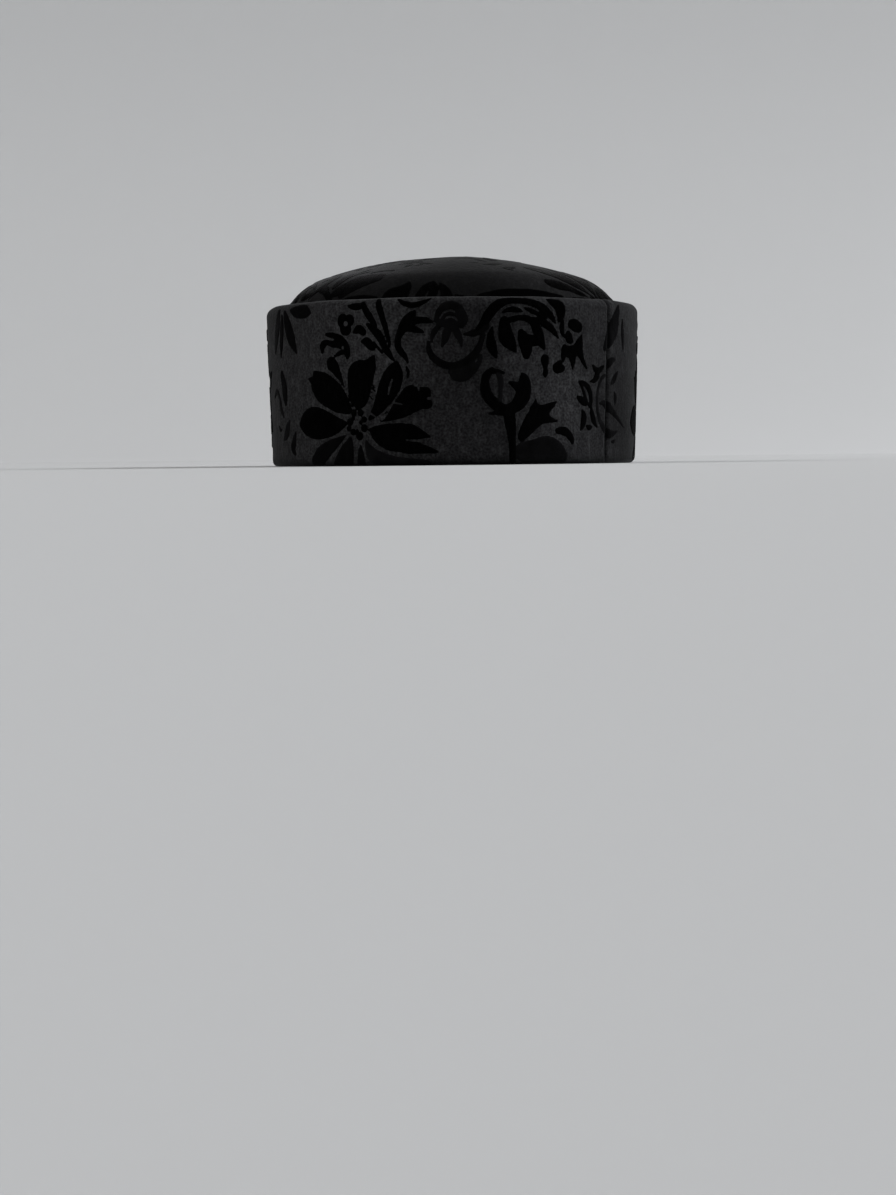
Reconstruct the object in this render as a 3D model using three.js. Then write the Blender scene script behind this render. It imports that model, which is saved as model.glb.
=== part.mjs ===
// A tubeteika skullcap: a stiff upright velvet band, oval as a head is, and a soft domed crown
// sewn inside its top edge. Millimetres, +Z up, front towards -Y.
// The origin is the centre of the rim, on the surface that the cap rests on.

import * as THREE from "three";

// The band
const BAND_HEIGHT = 74;
const RIM_WIDTH = 170; // outside, from ear to ear
const RIM_LENGTH = 206; // outside, from forehead to nape
const BAND_FLARE = 2; // how far the top edge leans out past the rim, on every side
const BAND_WALL = 5; // velvet on both faces of a padded stiffener
const TOP_EDGE_RADIUS = 4.2; // outer corner, rolled over the padding
const RIM_FOLD_RADIUS = 2.4; // outer corner of the folded hem
const INNER_CORNER_RADIUS = 0.8;

// The crown
const CAP_HEIGHT = 97; // from the rim to the top of the dome
const DOME_RADIUS = 186; // the nearly flat middle of the dome
const DOME_HALF_WIDTH = 61; // how far out from the middle that flat stretch goes
const SHOULDER_RADIUS = 30.5; // where the dome turns down towards the band
const SHOULDER_SLOPE = THREE.MathUtils.degToRad(52); // how steeply it then runs down to the seam
const TUCK_RADIUS = 6; // where the cloth turns down along the band's inner face
const HEM_DEPTH = 18; // the crown's lower edge lies this far below the band's top edge
const CROWN_WALL = 2;
const SEAM_GAP = 0.3; // between the crown's lower edge and the band's inner face

// How finely the round shapes are divided
const ROUND_SEGMENTS = 72;
const CORNER_STEPS = 4;
const DOME_STEPS = 6;
const SHOULDER_STEPS = 5;
const TUCK_STEPS = 3;

const RIGHT_ANGLE = Math.PI / 2;
const rimHalfWidth = RIM_WIDTH / 2;
const rimHalfLength = RIM_LENGTH / 2;

// How far the band's faces stand out past the rim's, at height z.
const flareAt = (z) => (BAND_FLARE * z) / BAND_HEIGHT;

// Points along a round corner from one angle to another, counted anticlockwise from +X.
function corner(x, z, radius, from, to, steps) {
  return new THREE.EllipseCurve(x, z, radius, radius, from, to, to < from).getPoints(steps);
}

// Spins an outline of (radius, height) points round +Z, starting from the front.
function spin(outline) {
  return new THREE.LatheGeometry(outline, ROUND_SEGMENTS).rotateX(RIGHT_ANGLE);
}

// Turns a lathe's round plan into an oval one:
// each point keeps its distance outwards from the oval, square to it.
function bendToOval(geometry, halfWidth, halfLength) {
  const position = geometry.getAttribute("position");
  for (let i = 0; i < position.count; i++) {
    const angle = Math.atan2(position.getX(i), -position.getY(i));
    const outwards = Math.hypot(position.getX(i), position.getY(i)) - halfWidth;
    const square = new THREE.Vector2(Math.sin(angle) / halfWidth, -Math.cos(angle) / halfLength).normalize();
    position.setX(i, halfWidth * Math.sin(angle) + outwards * square.x);
    position.setY(i, -halfLength * Math.cos(angle) + outwards * square.y);
  }
  return geometry;
}

// The band's wall cut through on one side, as its four corners in turn, each rounded to a quarter circle.
// x and z are the sharp corner's place, x outwards from the cap's middle. inX and inZ point into the wall.
function bandSection() {
  const outside = rimHalfWidth;
  const inside = rimHalfWidth - BAND_WALL;
  const corners = [
    { x: outside, z: 0, inX: -1, inZ: 1, radius: RIM_FOLD_RADIUS },
    { x: outside + BAND_FLARE, z: BAND_HEIGHT, inX: -1, inZ: -1, radius: TOP_EDGE_RADIUS },
    { x: inside + BAND_FLARE, z: BAND_HEIGHT, inX: 1, inZ: -1, radius: INNER_CORNER_RADIUS },
    { x: inside, z: 0, inX: 1, inZ: 1, radius: INNER_CORNER_RADIUS },
  ];
  const section = corners.flatMap(({ x, z, inX, inZ, radius }, i) => {
    const start = (i - 1) * RIGHT_ANGLE;
    return corner(x + inX * radius, z + inZ * radius, radius, start, start + RIGHT_ANGLE, CORNER_STEPS);
  });
  return [...section, section[0]];
}

// The crown's outline from the middle of the dome out and down to its lower edge, moved inwards by inset.
function crownOutline(edgeRadius, inset) {
  const domeLean = Math.asin(DOME_HALF_WIDTH / DOME_RADIUS);
  const domeZ = CAP_HEIGHT - DOME_RADIUS;
  const shoulderX = (DOME_RADIUS - SHOULDER_RADIUS) * Math.sin(domeLean);
  const shoulderZ = domeZ + (DOME_RADIUS - SHOULDER_RADIUS) * Math.cos(domeLean);
  const tuckX = edgeRadius - TUCK_RADIUS;
  const tighter = SHOULDER_RADIUS - TUCK_RADIUS;
  const straightAcross = tuckX - shoulderX - tighter * Math.sin(SHOULDER_SLOPE);
  const straightDown = straightAcross * Math.tan(SHOULDER_SLOPE);
  const tuckZ = shoulderZ + tighter * Math.cos(SHOULDER_SLOPE) - straightDown;
  const domeEnd = RIGHT_ANGLE - domeLean;
  const slopeAngle = RIGHT_ANGLE - SHOULDER_SLOPE;
  return [
    ...corner(0, domeZ, DOME_RADIUS - inset, RIGHT_ANGLE, domeEnd, DOME_STEPS),
    ...corner(shoulderX, shoulderZ, SHOULDER_RADIUS - inset, domeEnd, slopeAngle, SHOULDER_STEPS).slice(1),
    ...corner(tuckX, tuckZ, TUCK_RADIUS - inset, slopeAngle, 0, TUCK_STEPS),
    new THREE.Vector2(edgeRadius - inset, BAND_HEIGHT - HEM_DEPTH),
  ];
}

function makeBand() {
  return bendToOval(spin(bandSection()), rimHalfWidth, rimHalfLength);
}

function makeCrown() {
  const inFromRim = BAND_WALL + SEAM_GAP - flareAt(BAND_HEIGHT - HEM_DEPTH);
  const edgeHalfWidth = rimHalfWidth - inFromRim;
  const edgeHalfLength = rimHalfLength - inFromRim;
  const outside = crownOutline(edgeHalfWidth, 0);
  const inside = crownOutline(edgeHalfWidth, CROWN_WALL);
  return spin([...inside, ...outside.reverse()]).scale(1, edgeHalfLength / edgeHalfWidth, 1);
}

function piece(name, geometry, color, roughness) {
  const mesh = new THREE.Mesh(geometry, new THREE.MeshStandardMaterial({ color, roughness, metalness: 0 }));
  mesh.name = name;
  return mesh;
}

const cap = new THREE.Group();
cap.add(piece("band", makeBand(), 0x232324, 0.95));
cap.add(piece("crown", makeCrown(), 0x2a2a2b, 0.85));

export default cap;
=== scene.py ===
import bpy
import numpy as np
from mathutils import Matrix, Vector


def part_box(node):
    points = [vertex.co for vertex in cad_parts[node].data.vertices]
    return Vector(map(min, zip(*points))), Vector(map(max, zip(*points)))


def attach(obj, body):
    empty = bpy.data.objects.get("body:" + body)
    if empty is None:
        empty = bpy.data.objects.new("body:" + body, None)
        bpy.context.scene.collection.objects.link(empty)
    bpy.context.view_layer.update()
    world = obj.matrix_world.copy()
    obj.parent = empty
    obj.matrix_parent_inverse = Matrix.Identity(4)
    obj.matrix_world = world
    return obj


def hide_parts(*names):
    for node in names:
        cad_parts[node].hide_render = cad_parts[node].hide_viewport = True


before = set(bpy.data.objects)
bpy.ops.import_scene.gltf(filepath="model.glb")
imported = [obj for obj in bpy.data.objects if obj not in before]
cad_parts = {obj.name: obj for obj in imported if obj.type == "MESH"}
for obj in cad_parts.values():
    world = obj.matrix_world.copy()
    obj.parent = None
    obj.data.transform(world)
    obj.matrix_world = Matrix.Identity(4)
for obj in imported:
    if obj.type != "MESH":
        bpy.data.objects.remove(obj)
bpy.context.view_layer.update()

# A velvet skullcap: a padded band and a soft crown, both cut from one burnt-out floral velvet.
# Charts are in millimetres on the flat cloth, and everything else is in metres.
mm = 0.001
cm = 10 * mm  # the cloth's own map, which the materials read, is in centimetres
bandLow, bandHigh = (np.array(corner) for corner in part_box("band"))
crownLow, crownHigh = (np.array(corner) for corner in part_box("crown"))
print("cap", np.round((bandHigh - bandLow) / mm, 1), "mm, crown to", round(crownHigh[2] / mm, 1), "mm")


# Smooth step: 0 up to a, 1 from b on, and 3t^2 - 2t^3 between them.
def ease(x, a, b):
    t = np.clip((x - a) / (b - a), 0, 1)
    return t * t * (3 - 2 * t)


# Soft noise: seeded random heights on a square net of the given size, eased between the net's corners.
# The net has this many corners along each side and then repeats.
noiseNet = 512


def softNoise(u, v, size, seed):
    net = np.random.default_rng(seed).uniform(-1, 1, (noiseNet, noiseNet))
    cu, cv = np.broadcast_arrays(u / size, v / size)
    i, j = np.floor(cu).astype(int), np.floor(cv).astype(int)
    fu, fv = ease(cu - i, 0, 1), ease(cv - j, 0, 1)
    i0, i1, j0, j1 = (index % noiseNet for index in (i, i + 1, j, j + 1))
    low = net[i0, j0] * (1 - fu) + net[i1, j0] * fu
    high = net[i0, j1] * (1 - fu) + net[i1, j1] * fu
    return low * (1 - fv) + high * fv


# The flowers, charted on the cloth. A stroke is a list of knots (u, v, half width): u along the band from
# the middle of the front, v up from the rim. "pile" strokes keep their velvet, "bare" ones cut into them,
# where there are any, and nap is how dense the velvet is left.
motifs = {
    "sideLeaves": {"nap": 0.9, "pile": [
        [(-92.5, 70.8, 0.6), (-87, 70, 2.8), (-82, 69.9, 3.5), (-78, 69.5, 2.8), (-74, 68.8, 0.7)],
        [(-98.5, 69.5, 1.6), (-96, 64.5, 3.5), (-92.8, 58.7, 3.9), (-89.7, 54, 2.2), (-87.6, 50.8, 0.5)],
    ]},
    "sideScrolls": {"nap": 0.85, "pile": [
        [(-102, 68, 1.3), (-102.7, 63, 2.3), (-104, 56, 2.1), (-105.3, 49.5, 0.6)],
        [(-101.4, 28, 1.5), (-102, 32, 2.8), (-102.6, 36, 3), (-105, 41, 2.2)],
        [(-91, 14.2, 0.5), (-93.4, 9.5, 2.2), (-94.6, 6.5, 2.1), (-92.5, 4.2, 1)],
    ]},
    "sideWisps": {"nap": 0.65, "pile": [
        [(-106.4, 70, 2), (-109, 64, 3.3), (-111.8, 57.5, 2.7), (-114, 51.5, 0.6)],
        [(-119, 31, 0.8), (-115.5, 33.3, 1.5), (-111.5, 32.2, 1.5), (-109, 29, 1.4), (-107.5, 25, 1.8),
         (-105, 22, 1)],
        [(-97.5, 19.3, 0.8), (-100, 16, 2.4), (-102, 13.3, 2.5), (-105.5, 11, 0.7)],
        [(-113, 17, 0.6), (-110.5, 15.5, 1), (-108.5, 15.5, 0.5)],
    ]},
    "daisy": {"nap": 1.0, "pile": [
        [(-52.3, 17.7, 0.7), (-57, 17.2, 3), (-62, 17.1, 5), (-68, 17.7, 6.8), (-74, 18.3, 7.4),
         (-79.5, 18.2, 5.8), (-84, 17.7, 2.6), (-86.6, 17.6, 0.5)],
        [(-50.8, 24.6, 2.6), (-54.5, 27.2, 5), (-59.5, 30.2, 6.8), (-65.5, 33.6, 7.3), (-69.6, 36, 5.9)],
        [(-69, 38, 3.6), (-71.8, 40.2, 2)],
        [(-70, 36, 4), (-74.6, 37.7, 1.8), (-77.4, 38.5, 0.4)],
        [(-53.2, 34.4, 0.4), (-56.2, 39.5, 1.9), (-59.2, 43.3, 3.4), (-60.3, 45.3, 3)],
        [(-45, 27.4, 3.3), (-44.8, 30.5, 5.4), (-44.5, 35, 6.3), (-43.6, 39.3, 7)],
        [(-45.5, 39.5, 5), (-47, 41, 3)],
        [(-42.5, 40.4, 5.2), (-39.5, 42.6, 3.9), (-37.4, 46, 1.7), (-36.2, 48.2, 0.4)],
        [(-39.2, 19.8, 0.9), (-35.8, 23.2, 2.4), (-32.4, 28.2, 3.8), (-29, 34, 5.2), (-26.9, 39.2, 4.4),
         (-25.6, 43.4, 1.7), (-25, 45, 0.5)],
        [(-33.6, 18.8, 0.7), (-28.5, 21.5, 2.8), (-23.5, 24.7, 4.9), (-18.5, 27.8, 5.7), (-14.5, 28.7, 5)],
        [(-20, 30, 3.6), (-18.8, 31.6, 2.9)],
        [(-15, 30, 3.2), (-12, 31.2, 2.3)],
        [(-15, 27, 3.2), (-11.4, 26, 2.4)],
        [(-40, 14.6, 0.5), (-38, 14.2, 1.6), (-34.5, 12.6, 4), (-29, 11.3, 6.1), (-23.5, 11, 6.5)],
        [(-22, 12.6, 4.5), (-19.5, 13.2, 3.8), (-15.5, 12.5, 2.3), (-10.4, 11.2, 0.5)],
        [(-22, 8.5, 4.6), (-20, 7.3, 3.7), (-15, 6, 2.3), (-10, 5, 1.3), (-7, 4.4, 0.4)],
    ], "bare": [
        [(-27.6, 37.2, 0.45), (-28.8, 34, 0.6), (-29.6, 30.6, 0.4)],
        [(-15.7, 35, 0.8), (-15.3, 32, 0.4)],
        [(-27, 26.9, 0.5), (-23.2, 25.8, 0.3)],
        [(-21.5, 9.8, 0.3), (-15, 9.3, 0.7), (-9, 8.5, 1.1)],
        [(-8, 28.4, 1.3), (-11.2, 28.4, 0.5)],
        [(-48.4, 23.6, 0.4), (-52.5, 32.6, 0.4), (-58, 38.6, 0.5), (-63.5, 42.5, 0.5)],
        [(-53.6, 20.2, 0.5), (-60, 22.7, 0.55), (-67, 25.6, 0.6), (-74, 28.6, 0.6)],
        [(-38.6, 21.8, 0.5), (-33, 19.4, 0.5), (-27.4, 26.8, 0.5), (-22.4, 33.6, 0.5)],
    ]},
    "lowPetals": {"nap": 0.88, "pile": [
        [(-53, 12, 0.6), (-57.5, 9.4, 2.2), (-63, 6.4, 3.8), (-69, 3.2, 4.6), (-73.5, 0.4, 3.6)],
        [(-50.3, 10.8, 0.9), (-51.2, 8, 2.4), (-52.8, 4.5, 4.1), (-54.5, 0, 5.4), (-56, -3, 5.6)],
        [(-44.6, 7.4, 0.5), (-44.6, 4.4, 1.5), (-44.4, 0, 2.2), (-44.4, -3, 2.2)],
    ], "bare": [[(-51.6, 12.4, 0.4), (-57, 7.2, 0.5), (-62.5, 2.9, 0.5), (-67, -1, 0.5)]]},
    "underPetal": {"nap": 0.7, "pile": [
        [(-41.6, 9.6, 0.5), (-40.4, 6.4, 1.8), (-37.4, 2.8, 3.2), (-31.5, 0.6, 3), (-24, -0.2, 2.3),
         (-12, -0.8, 1.6)],
    ], "bare": [[(-41, 10.2, 0.4), (-36.4, 6.5, 0.5), (-29, 4, 0.5), (-20, 3, 0.5), (-8, 2.6, 0.5)]]},
    "stamens": {"nap": 1.0, "pile": [
        [(-48, 22.5, 1.7)], [(-44.3, 22.4, 1.7)], [(-42.4, 19.4, 1.5)], [(-50.2, 18.3, 1.7)],
        [(-51, 15.4, 1.3)], [(-48.6, 13.8, 1.6)], [(-42.4, 15.4, 1.8)], [(-45, 11.9, 1.9)],
        [(-44.2, 18, 1)], [(-46.2, 24.4, 0.9)], [(-48.4, 20, 1)], [(-46.4, 14, 1)],
        [(-38.2, 35.6, 0.3), (-36.2, 33.8, 0.3)], [(-38.2, 33.8, 0.3), (-36.2, 32, 0.3)],
        [(-38.4, 32, 0.3), (-36.4, 30.2, 0.3)], [(-38.8, 29.6, 0.3), (-37.4, 28.2, 0.3)],
    ]},
    "buds": {"nap": 1.0, "pile": [
        [(-63, 58.4, 0.8), (-58.5, 57.6, 1.5), (-54, 55.4, 2.1), (-51.3, 52, 2.1), (-50.4, 48.8, 1.4),
         (-50.6, 47.2, 0.5)],
        [(-66.2, 50.6, 0.9), (-65.8, 53.4, 1.9), (-63, 54.8, 1.3), (-59.5, 54, 1.5), (-55.5, 53.8, 1.9),
         (-53, 53, 1.8)],
        [(-58.2, 48.3, 0.5), (-55.8, 49.3, 0.9), (-53, 50.3, 1.3), (-51, 50.6, 1.4)],
        [(-52.5, 64.2, 3.3)], [(-48.9, 64.3, 2.7)], [(-51.2, 60.6, 3.2)],
        [(-49, 70.8, 0.7), (-46.5, 70.6, 1.6), (-43.5, 70.5, 1.6), (-41.5, 71, 1)],
        [(-46.3, 58.9, 0.8), (-43.9, 60.2, 2), (-41.6, 58.8, 1.6)],
        [(-42, 54.6, 0.9), (-39.8, 54.5, 2), (-38, 52.5, 1.8), (-36.6, 51.4, 1.1)],
    ], "bare": [[(-53, 52.2, 0.8)], [(-51.1, 62.9, 1.25)], [(-58.4, 56, 0.5), (-60.6, 56.3, 0.3)]]},
    "stems": {"nap": 1.0, "pile": [
        [(-41.5, 71.8, 1.2), (-39.6, 68, 1.6), (-37.4, 64.8, 1.6), (-35.2, 62, 0.8), (-34.6, 61, 0.3)],
        [(-34.3, 74.8, 0.7), (-33.2, 70.5, 1.5), (-31.6, 65, 1.4), (-30, 59.5, 1.2), (-28.6, 54, 0.8),
         (-28.2, 52, 0.3)],
        [(-39, 62, 0.9), (-36.4, 60, 1.6), (-33.6, 57.2, 2), (-31.4, 53, 1.7), (-29.4, 49.6, 1.6),
         (-27.6, 47, 0.9), (-26.5, 45.9, 0.4)],
        [(-36.2, 53.6, 0.8), (-33.7, 51, 0.7), (-32.2, 49.2, 0.4)],
    ]},
    "acanthus": {"nap": 1.0, "pile": [
        [(-24.3, 73.5, 0.5), (-21.3, 71.3, 1.2), (-17, 70.3, 1.3), (-12.8, 71.5, 1.1), (-9.3, 73.6, 0.4)],
        [(-16.4, 67.6, 0.5), (-18.2, 65.2, 2), (-20.2, 62.4, 2.8), (-22.6, 59, 1.9), (-24.3, 55.5, 1.5),
         (-24.4, 52, 1.5), (-22.8, 49.3, 1.5), (-21, 46.8, 1), (-20, 44.6, 0.4)],
        [(-19.5, 63, 2.5), (-15, 63.5, 1.6), (-11, 63.3, 1.3), (-8.7, 62.6, 0.5)],
        [(-20, 60.8, 2.2), (-16.5, 59.4, 1.5), (-14, 58.6, 1), (-12.8, 58.1, 0.4)],
        [(-20.6, 42.6, 0.4), (-19.9, 40.5, 0.7), (-20.2, 38, 0.4)],
    ]},
    "rose": {"nap": 0.76, "pile": [
        [(-7.2, 63, 0.8), (-5.4, 66.8, 1.7), (-2.5, 69.4, 2.2), (1, 69.4, 2.3), (3.8, 66.6, 2.2),
         (5, 63, 1.9), (4.2, 60.8, 1.2)],
        [(-4.2, 63.8, 2), (-1.6, 65.2, 3), (1.4, 64.8, 3.2), (2.4, 63.2, 2.4)],
        [(-6, 61.8, 1), (-2.5, 61.5, 1.7), (1.5, 61.4, 1.8), (4.4, 61.6, 1.5)],
        [(-5, 61.4, 0.9), (-7.4, 58.8, 1.3), (-8.8, 55.8, 0.9), (-9, 53.6, 0.3)],
        [(-1.4, 60.5, 1.6), (-2.4, 57.5, 1.8), (-3.2, 54.8, 1.5), (-4.4, 51.8, 0.6)],
        [(0.8, 60.4, 1.3), (2.4, 57, 1.6), (3.6, 54, 1), (4, 51.4, 0.3)],
        [(-0.6, 40.4, 1.3), (1.6, 37.9, 1.9), (5.4, 37.8, 1.8), (9, 40.3, 1.4), (11.6, 44, 1.1),
         (12.6, 47.5, 0.7)],
        [(1.4, 40.4, 1.5), (5, 40.8, 1.9), (8.6, 43.6, 1.6)],
    ], "bare": [
        [(-5.4, 64.2, 0.3), (-3.4, 66.8, 0.5), (-0.6, 67.6, 0.45), (1.6, 66.6, 0.3)],
        [(-3.4, 63.4, 0.3), (-1.2, 64.8, 0.5), (1.2, 64.2, 0.4), (2.4, 62.8, 0.25)],
    ]},
    "roseStem": {"nap": 0.87, "pile": [
        [(-10.6, 53.5, 0.7), (-10.1, 49.5, 1.3), (-7.6, 45.9, 1.6), (-3.4, 43.3, 1.7), (1.2, 43, 1.6),
         (6, 44.8, 1.8), (10, 48.2, 1.8), (12.4, 52.5, 1.3), (13.6, 56.5, 1.2)],
        [(5.4, 57, 0.6), (9, 57.3, 1.5), (12, 58.4, 1.6), (15, 60.4, 1.6)],
    ]},
    "bell": {"nap": 1.0, "pile": [
        [(10.5, 57.8, 1.2), (13.4, 61, 1.8), (16.2, 65.6, 2.3), (19.3, 69.3, 2.3), (23.5, 71.8, 2),
         (29, 72.5, 1.8), (35, 71.6, 1.8), (40.2, 69.8, 1.9), (44.2, 67.2, 1.9), (47.2, 64.6, 1.4),
         (49, 62.2, 0.4)],
        [(22.6, 66.8, 0.4), (25.5, 67.9, 1.2), (28.5, 68, 1.3), (31.6, 67.2, 0.4)],
        [(33.2, 68.7, 0.6), (36.5, 67.4, 1.1), (40, 66, 1), (44, 64.3, 0.6)],
        [(37.6, 64, 0.8), (41, 62.7, 1.5), (45, 60.9, 1.8), (48.2, 58.4, 1.4), (50.8, 55.4, 0.4)],
        [(23.4, 63, 2), (23.5, 60, 2.9), (24.1, 55.8, 3.6), (26.3, 52.4, 2.6), (28.4, 49.4, 0.7)],
        [(17.8, 60, 0.6), (17, 56, 1.6), (17.4, 52, 2.3), (18.4, 49, 1.7), (19.6, 46.4, 0.5)],
        [(25, 63, 1.4), (29.5, 64.2, 1.2), (33.5, 64.2, 1.4), (36.8, 62.6, 1.7), (38.8, 59.6, 2.2),
         (40.4, 56.2, 2.5), (41.6, 53, 1.8), (43, 50.4, 0.6)],
        [(31.2, 58, 1.3), (32.6, 54.6, 3), (33.8, 51, 3), (33.9, 47.4, 1.8)],
        [(34, 54.4, 2.6), (37, 54, 2.6), (39.6, 54.4, 2.5)],
        [(45.2, 72.7, 0.6), (48, 71.5, 2), (51.4, 69.6, 3), (52.2, 66, 2.3), (51.2, 63.2, 0.8)],
        [(53.4, 63.2, 0.7), (52.8, 60.5, 1.4), (53.4, 57.4, 1), (54.8, 55.6, 0.4)],
        [(59, 61.8, 2.3), (61.4, 61.2, 2.9), (63.8, 60.5, 2.4)],
        [(56.8, 57.6, 1.4), (57.2, 55.8, 2.3), (58.4, 54.2, 1.6)],
        [(55.4, 49.9, 2.9), (59.5, 50, 3.6), (63, 51.7, 3.3), (64.8, 54.5, 1.6), (65.8, 57, 0.4)],
        [(54.6, 49.5, 2), (54, 46.6, 1.2), (53.8, 44.6, 0.3)],
        [(59.6, 48.6, 2.8), (60, 45, 1.7), (60, 42.4, 0.7), (60, 41, 0.3)],
        [(63.8, 50.6, 2.6), (65.6, 47.4, 1.6), (67.6, 44.4, 1.1), (69.6, 42, 0.6)],
        [(43.8, 47, 1), (43.5, 45.4, 2.2), (43.8, 42, 1.1), (44, 39.6, 1.4), (43.9, 37.8, 0.5)],
        [(52, 44.2, 1.3), (50.2, 42, 2.4), (51.8, 41.8, 2.3), (53.2, 41.8, 1.8)],
    ], "bare": [
        [(54.2, 53.8, 0.5), (56.6, 52.6, 0.5), (59.6, 52.7, 0.4), (62, 55, 0.6)],
        [(20.4, 62.8, 0.4), (20, 56, 0.45), (20.6, 51.6, 0.5)],
    ]},
    "tulip": {"nap": 0.97, "pile": [
        [(17.6, 41.2, 0.9), (15.2, 38.6, 1.8), (14.3, 34.5, 2), (15, 30.5, 2.4), (17.4, 27, 2.5),
         (20.6, 24.4, 2.5), (24, 22.9, 2.5), (28.6, 24.6, 2.9), (31.7, 28, 3.6), (32.8, 32.2, 3.6),
         (33, 36, 2.7), (32, 39, 0.8)],
        [(17, 40.4, 1.2), (20, 40.2, 1.1), (23, 39.6, 0.6)],
        [(25.8, 35.2, 0.6), (28.6, 34, 1.6), (30.6, 32.5, 2.3)],
        [(16.6, 21.3, 0.5), (20, 21.6, 1), (24, 22, 1.8)],
        [(25.6, 22, 2.8), (26, 18, 2.7), (26.6, 14, 2.3), (27, 9, 1.8), (27.2, 4, 1.6), (27.4, -1, 1.5)],
        [(31.8, 10.8, 2), (34, 13.8, 3.1), (37, 17.6, 4), (40, 20.4, 4.5), (43, 21.8, 3.5)],
        [(38.5, 23, 2.8), (38.8, 25.8, 1), (38.9, 27.6, 0.3)],
        [(44, 23.2, 2.4), (47.4, 24.8, 1.5), (50.5, 26.6, 0.3)],
        [(43, 19.4, 2.7), (47, 18.4, 1.3), (50.6, 17.8, 0.4)],
        [(51, 13.4, 1.4), (54.6, 13.2, 2), (57.6, 11.8, 1.9), (59.8, 9.6, 1.6), (60.6, 7.8, 0.8)],
    ]},
    "tulipVein": {"nap": 0.6, "pile": [
        [(20.4, 39.6, 1.3), (21.6, 36, 1.3), (21.5, 31.5, 1), (21.3, 27, 1)],
    ]},
    "mound": {"nap": 0.72, "pile": [
        [(33, 4, 4.6), (39, 4.5, 5.2), (45, 4.8, 6.2), (50, 3.4, 5.3), (54, 1.6, 3.2)],
        [(36, -2, 4), (52, -2, 4)],
    ]},
    "filigree": {"nap": 0.95, "pile": [
        [(64.4, 35.8, 0.6), (67.4, 34.2, 2), (70.2, 31.4, 3.3), (71.6, 28, 3), (73, 24.6, 1.2)],
        [(63.6, 28.6, 0.9), (66, 27.4, 1.7), (69, 26.2, 1.7)],
        [(66.8, 22.8, 0.5), (68.2, 20, 1.8), (67.8, 16.8, 1.8), (66.2, 13.8, 0.6)],
        [(73.6, 23.8, 0.8), (74.6, 20.6, 1.7), (76.4, 17.4, 1.5), (78.8, 15, 0.5)],
        [(70.4, 15.6, 0.5), (72, 14.8, 1.3), (74, 15, 0.8)],
        [(74.4, 43.2, 0.6), (76.6, 41.4, 1.4), (79.4, 40.9, 1.6), (82, 42.2, 1.2), (83.2, 43, 0.5)],
        [(78.6, 40.4, 2), (77.6, 38, 2), (75.4, 36.4, 1.2), (72.6, 36, 0.4)],
    ], "bare": [[(67.8, 33.4, 0.3), (70, 30.8, 0.8), (71, 28.4, 0.7), (71.6, 26.6, 0.3)]]},
    "seamLine": {"nap": 0.65, "pile": [
        [(86, 39.2, 0.7), (82.4, 37.8, 1), (79.6, 33.8, 1), (78.3, 28.4, 1), (78.8, 23, 1.1),
         (81.2, 17.8, 1.3), (85, 14, 1.7)],
        [(80.6, 26, 0.6), (84, 26, 1.4), (86, 25, 1.2)],
    ]},
    "seamSide": {"nap": 0.78, "pile": [
        [(84, 51.5, 1.5), (88, 55.5, 3.8), (92, 60.5, 5), (94.6, 65.6, 3.4), (96.8, 69.6, 1.6),
         (98.4, 71.8, 0.4)],
        [(102.6, 65, 0.6), (103, 60, 1.6), (103.8, 55, 1.6), (104.4, 50.6, 0.6)],
        [(86.4, 41.8, 0.5), (88.4, 44.2, 1.9), (91.6, 45.9, 1.6), (95.4, 46.3, 0.4)],
        [(90.8, 35, 0.5), (93, 36.4, 1.6), (95.6, 38.4, 1.5), (98.2, 41, 0.4)],
        [(94.8, 31.2, 0.4), (96, 28.6, 1.6), (95.8, 25.8, 0.6)],
        [(84, 26, 1.5), (87.6, 24.7, 2.3), (92, 22.9, 2), (97, 20.4, 1.4), (102, 17.8, 1),
         (108, 14.8, 0.4)],
        [(85, 14.6, 1.4), (89, 12, 2.1), (94, 12, 1.4), (99, 13, 0.5)],
        [(92.6, 8.2, 0.4), (94.8, 8.3, 0.9), (96.8, 8.8, 0.4)],
    ]},
}


# A stroke's line: the smooth curve through its knots, as a Catmull-Rom spline, the half width going
# the same way.
def strokeLine(knots, shift, steps=16):
    k = np.array(knots, float) + np.array([*shift, 0])
    if len(k) == 1:
        return k
    ends = np.vstack([2 * k[0] - k[1], k, 2 * k[-1] - k[-2]])
    a, b, c, d = (ends[i:len(ends) - 3 + i, None] for i in range(4))
    t = np.linspace(0, 1, steps)[None, :, None]
    line = b + 0.5 * t * (c - a + t * (2 * a - 5 * b + 4 * c - d + t * (3 * (b - c) + d - a)))
    return line.reshape(-1, 3)


# How far each point of a grid is outside a set of strokes: the least distance to the discs along their
# lines, with each disc as wide as the stroke there. Points further off than the reach keep its value.
strokeLimits = {"reach": 4.0, "thinnest": 0.1}


def strokesField(uLine, vLine, strokes, shift):
    field = np.full((len(uLine), len(vLine)), strokeLimits["reach"])
    for knots in strokes:
        line = strokeLine(knots, shift)
        margin = line[:, 2].max() + strokeLimits["reach"]
        low, high = line[:, :2].min(0) - margin, line[:, :2].max(0) + margin
        i0, i1 = np.searchsorted(uLine, [low[0], high[0]])
        j0, j1 = np.searchsorted(vLine, [low[1], high[1]])
        if i1 <= i0 or j1 <= j0:
            continue
        du = uLine[i0:i1, None, None] - line[:, 0]
        dv = vLine[None, j0:j1, None] - line[:, 1]
        away = (np.sqrt(du * du + dv * dv) - np.maximum(line[:, 2], strokeLimits["thinnest"])).min(-1)
        field[i0:i1, j0:j1] = np.minimum(field[i0:i1, j0:j1], away)
    return field


# The charts are drawn a little large: every knot's place and width is taken in by the scale, towards the
# middle of the front's top edge.
chartFit = {"scale": 0.977, "middle": (0, 74)}


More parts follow.
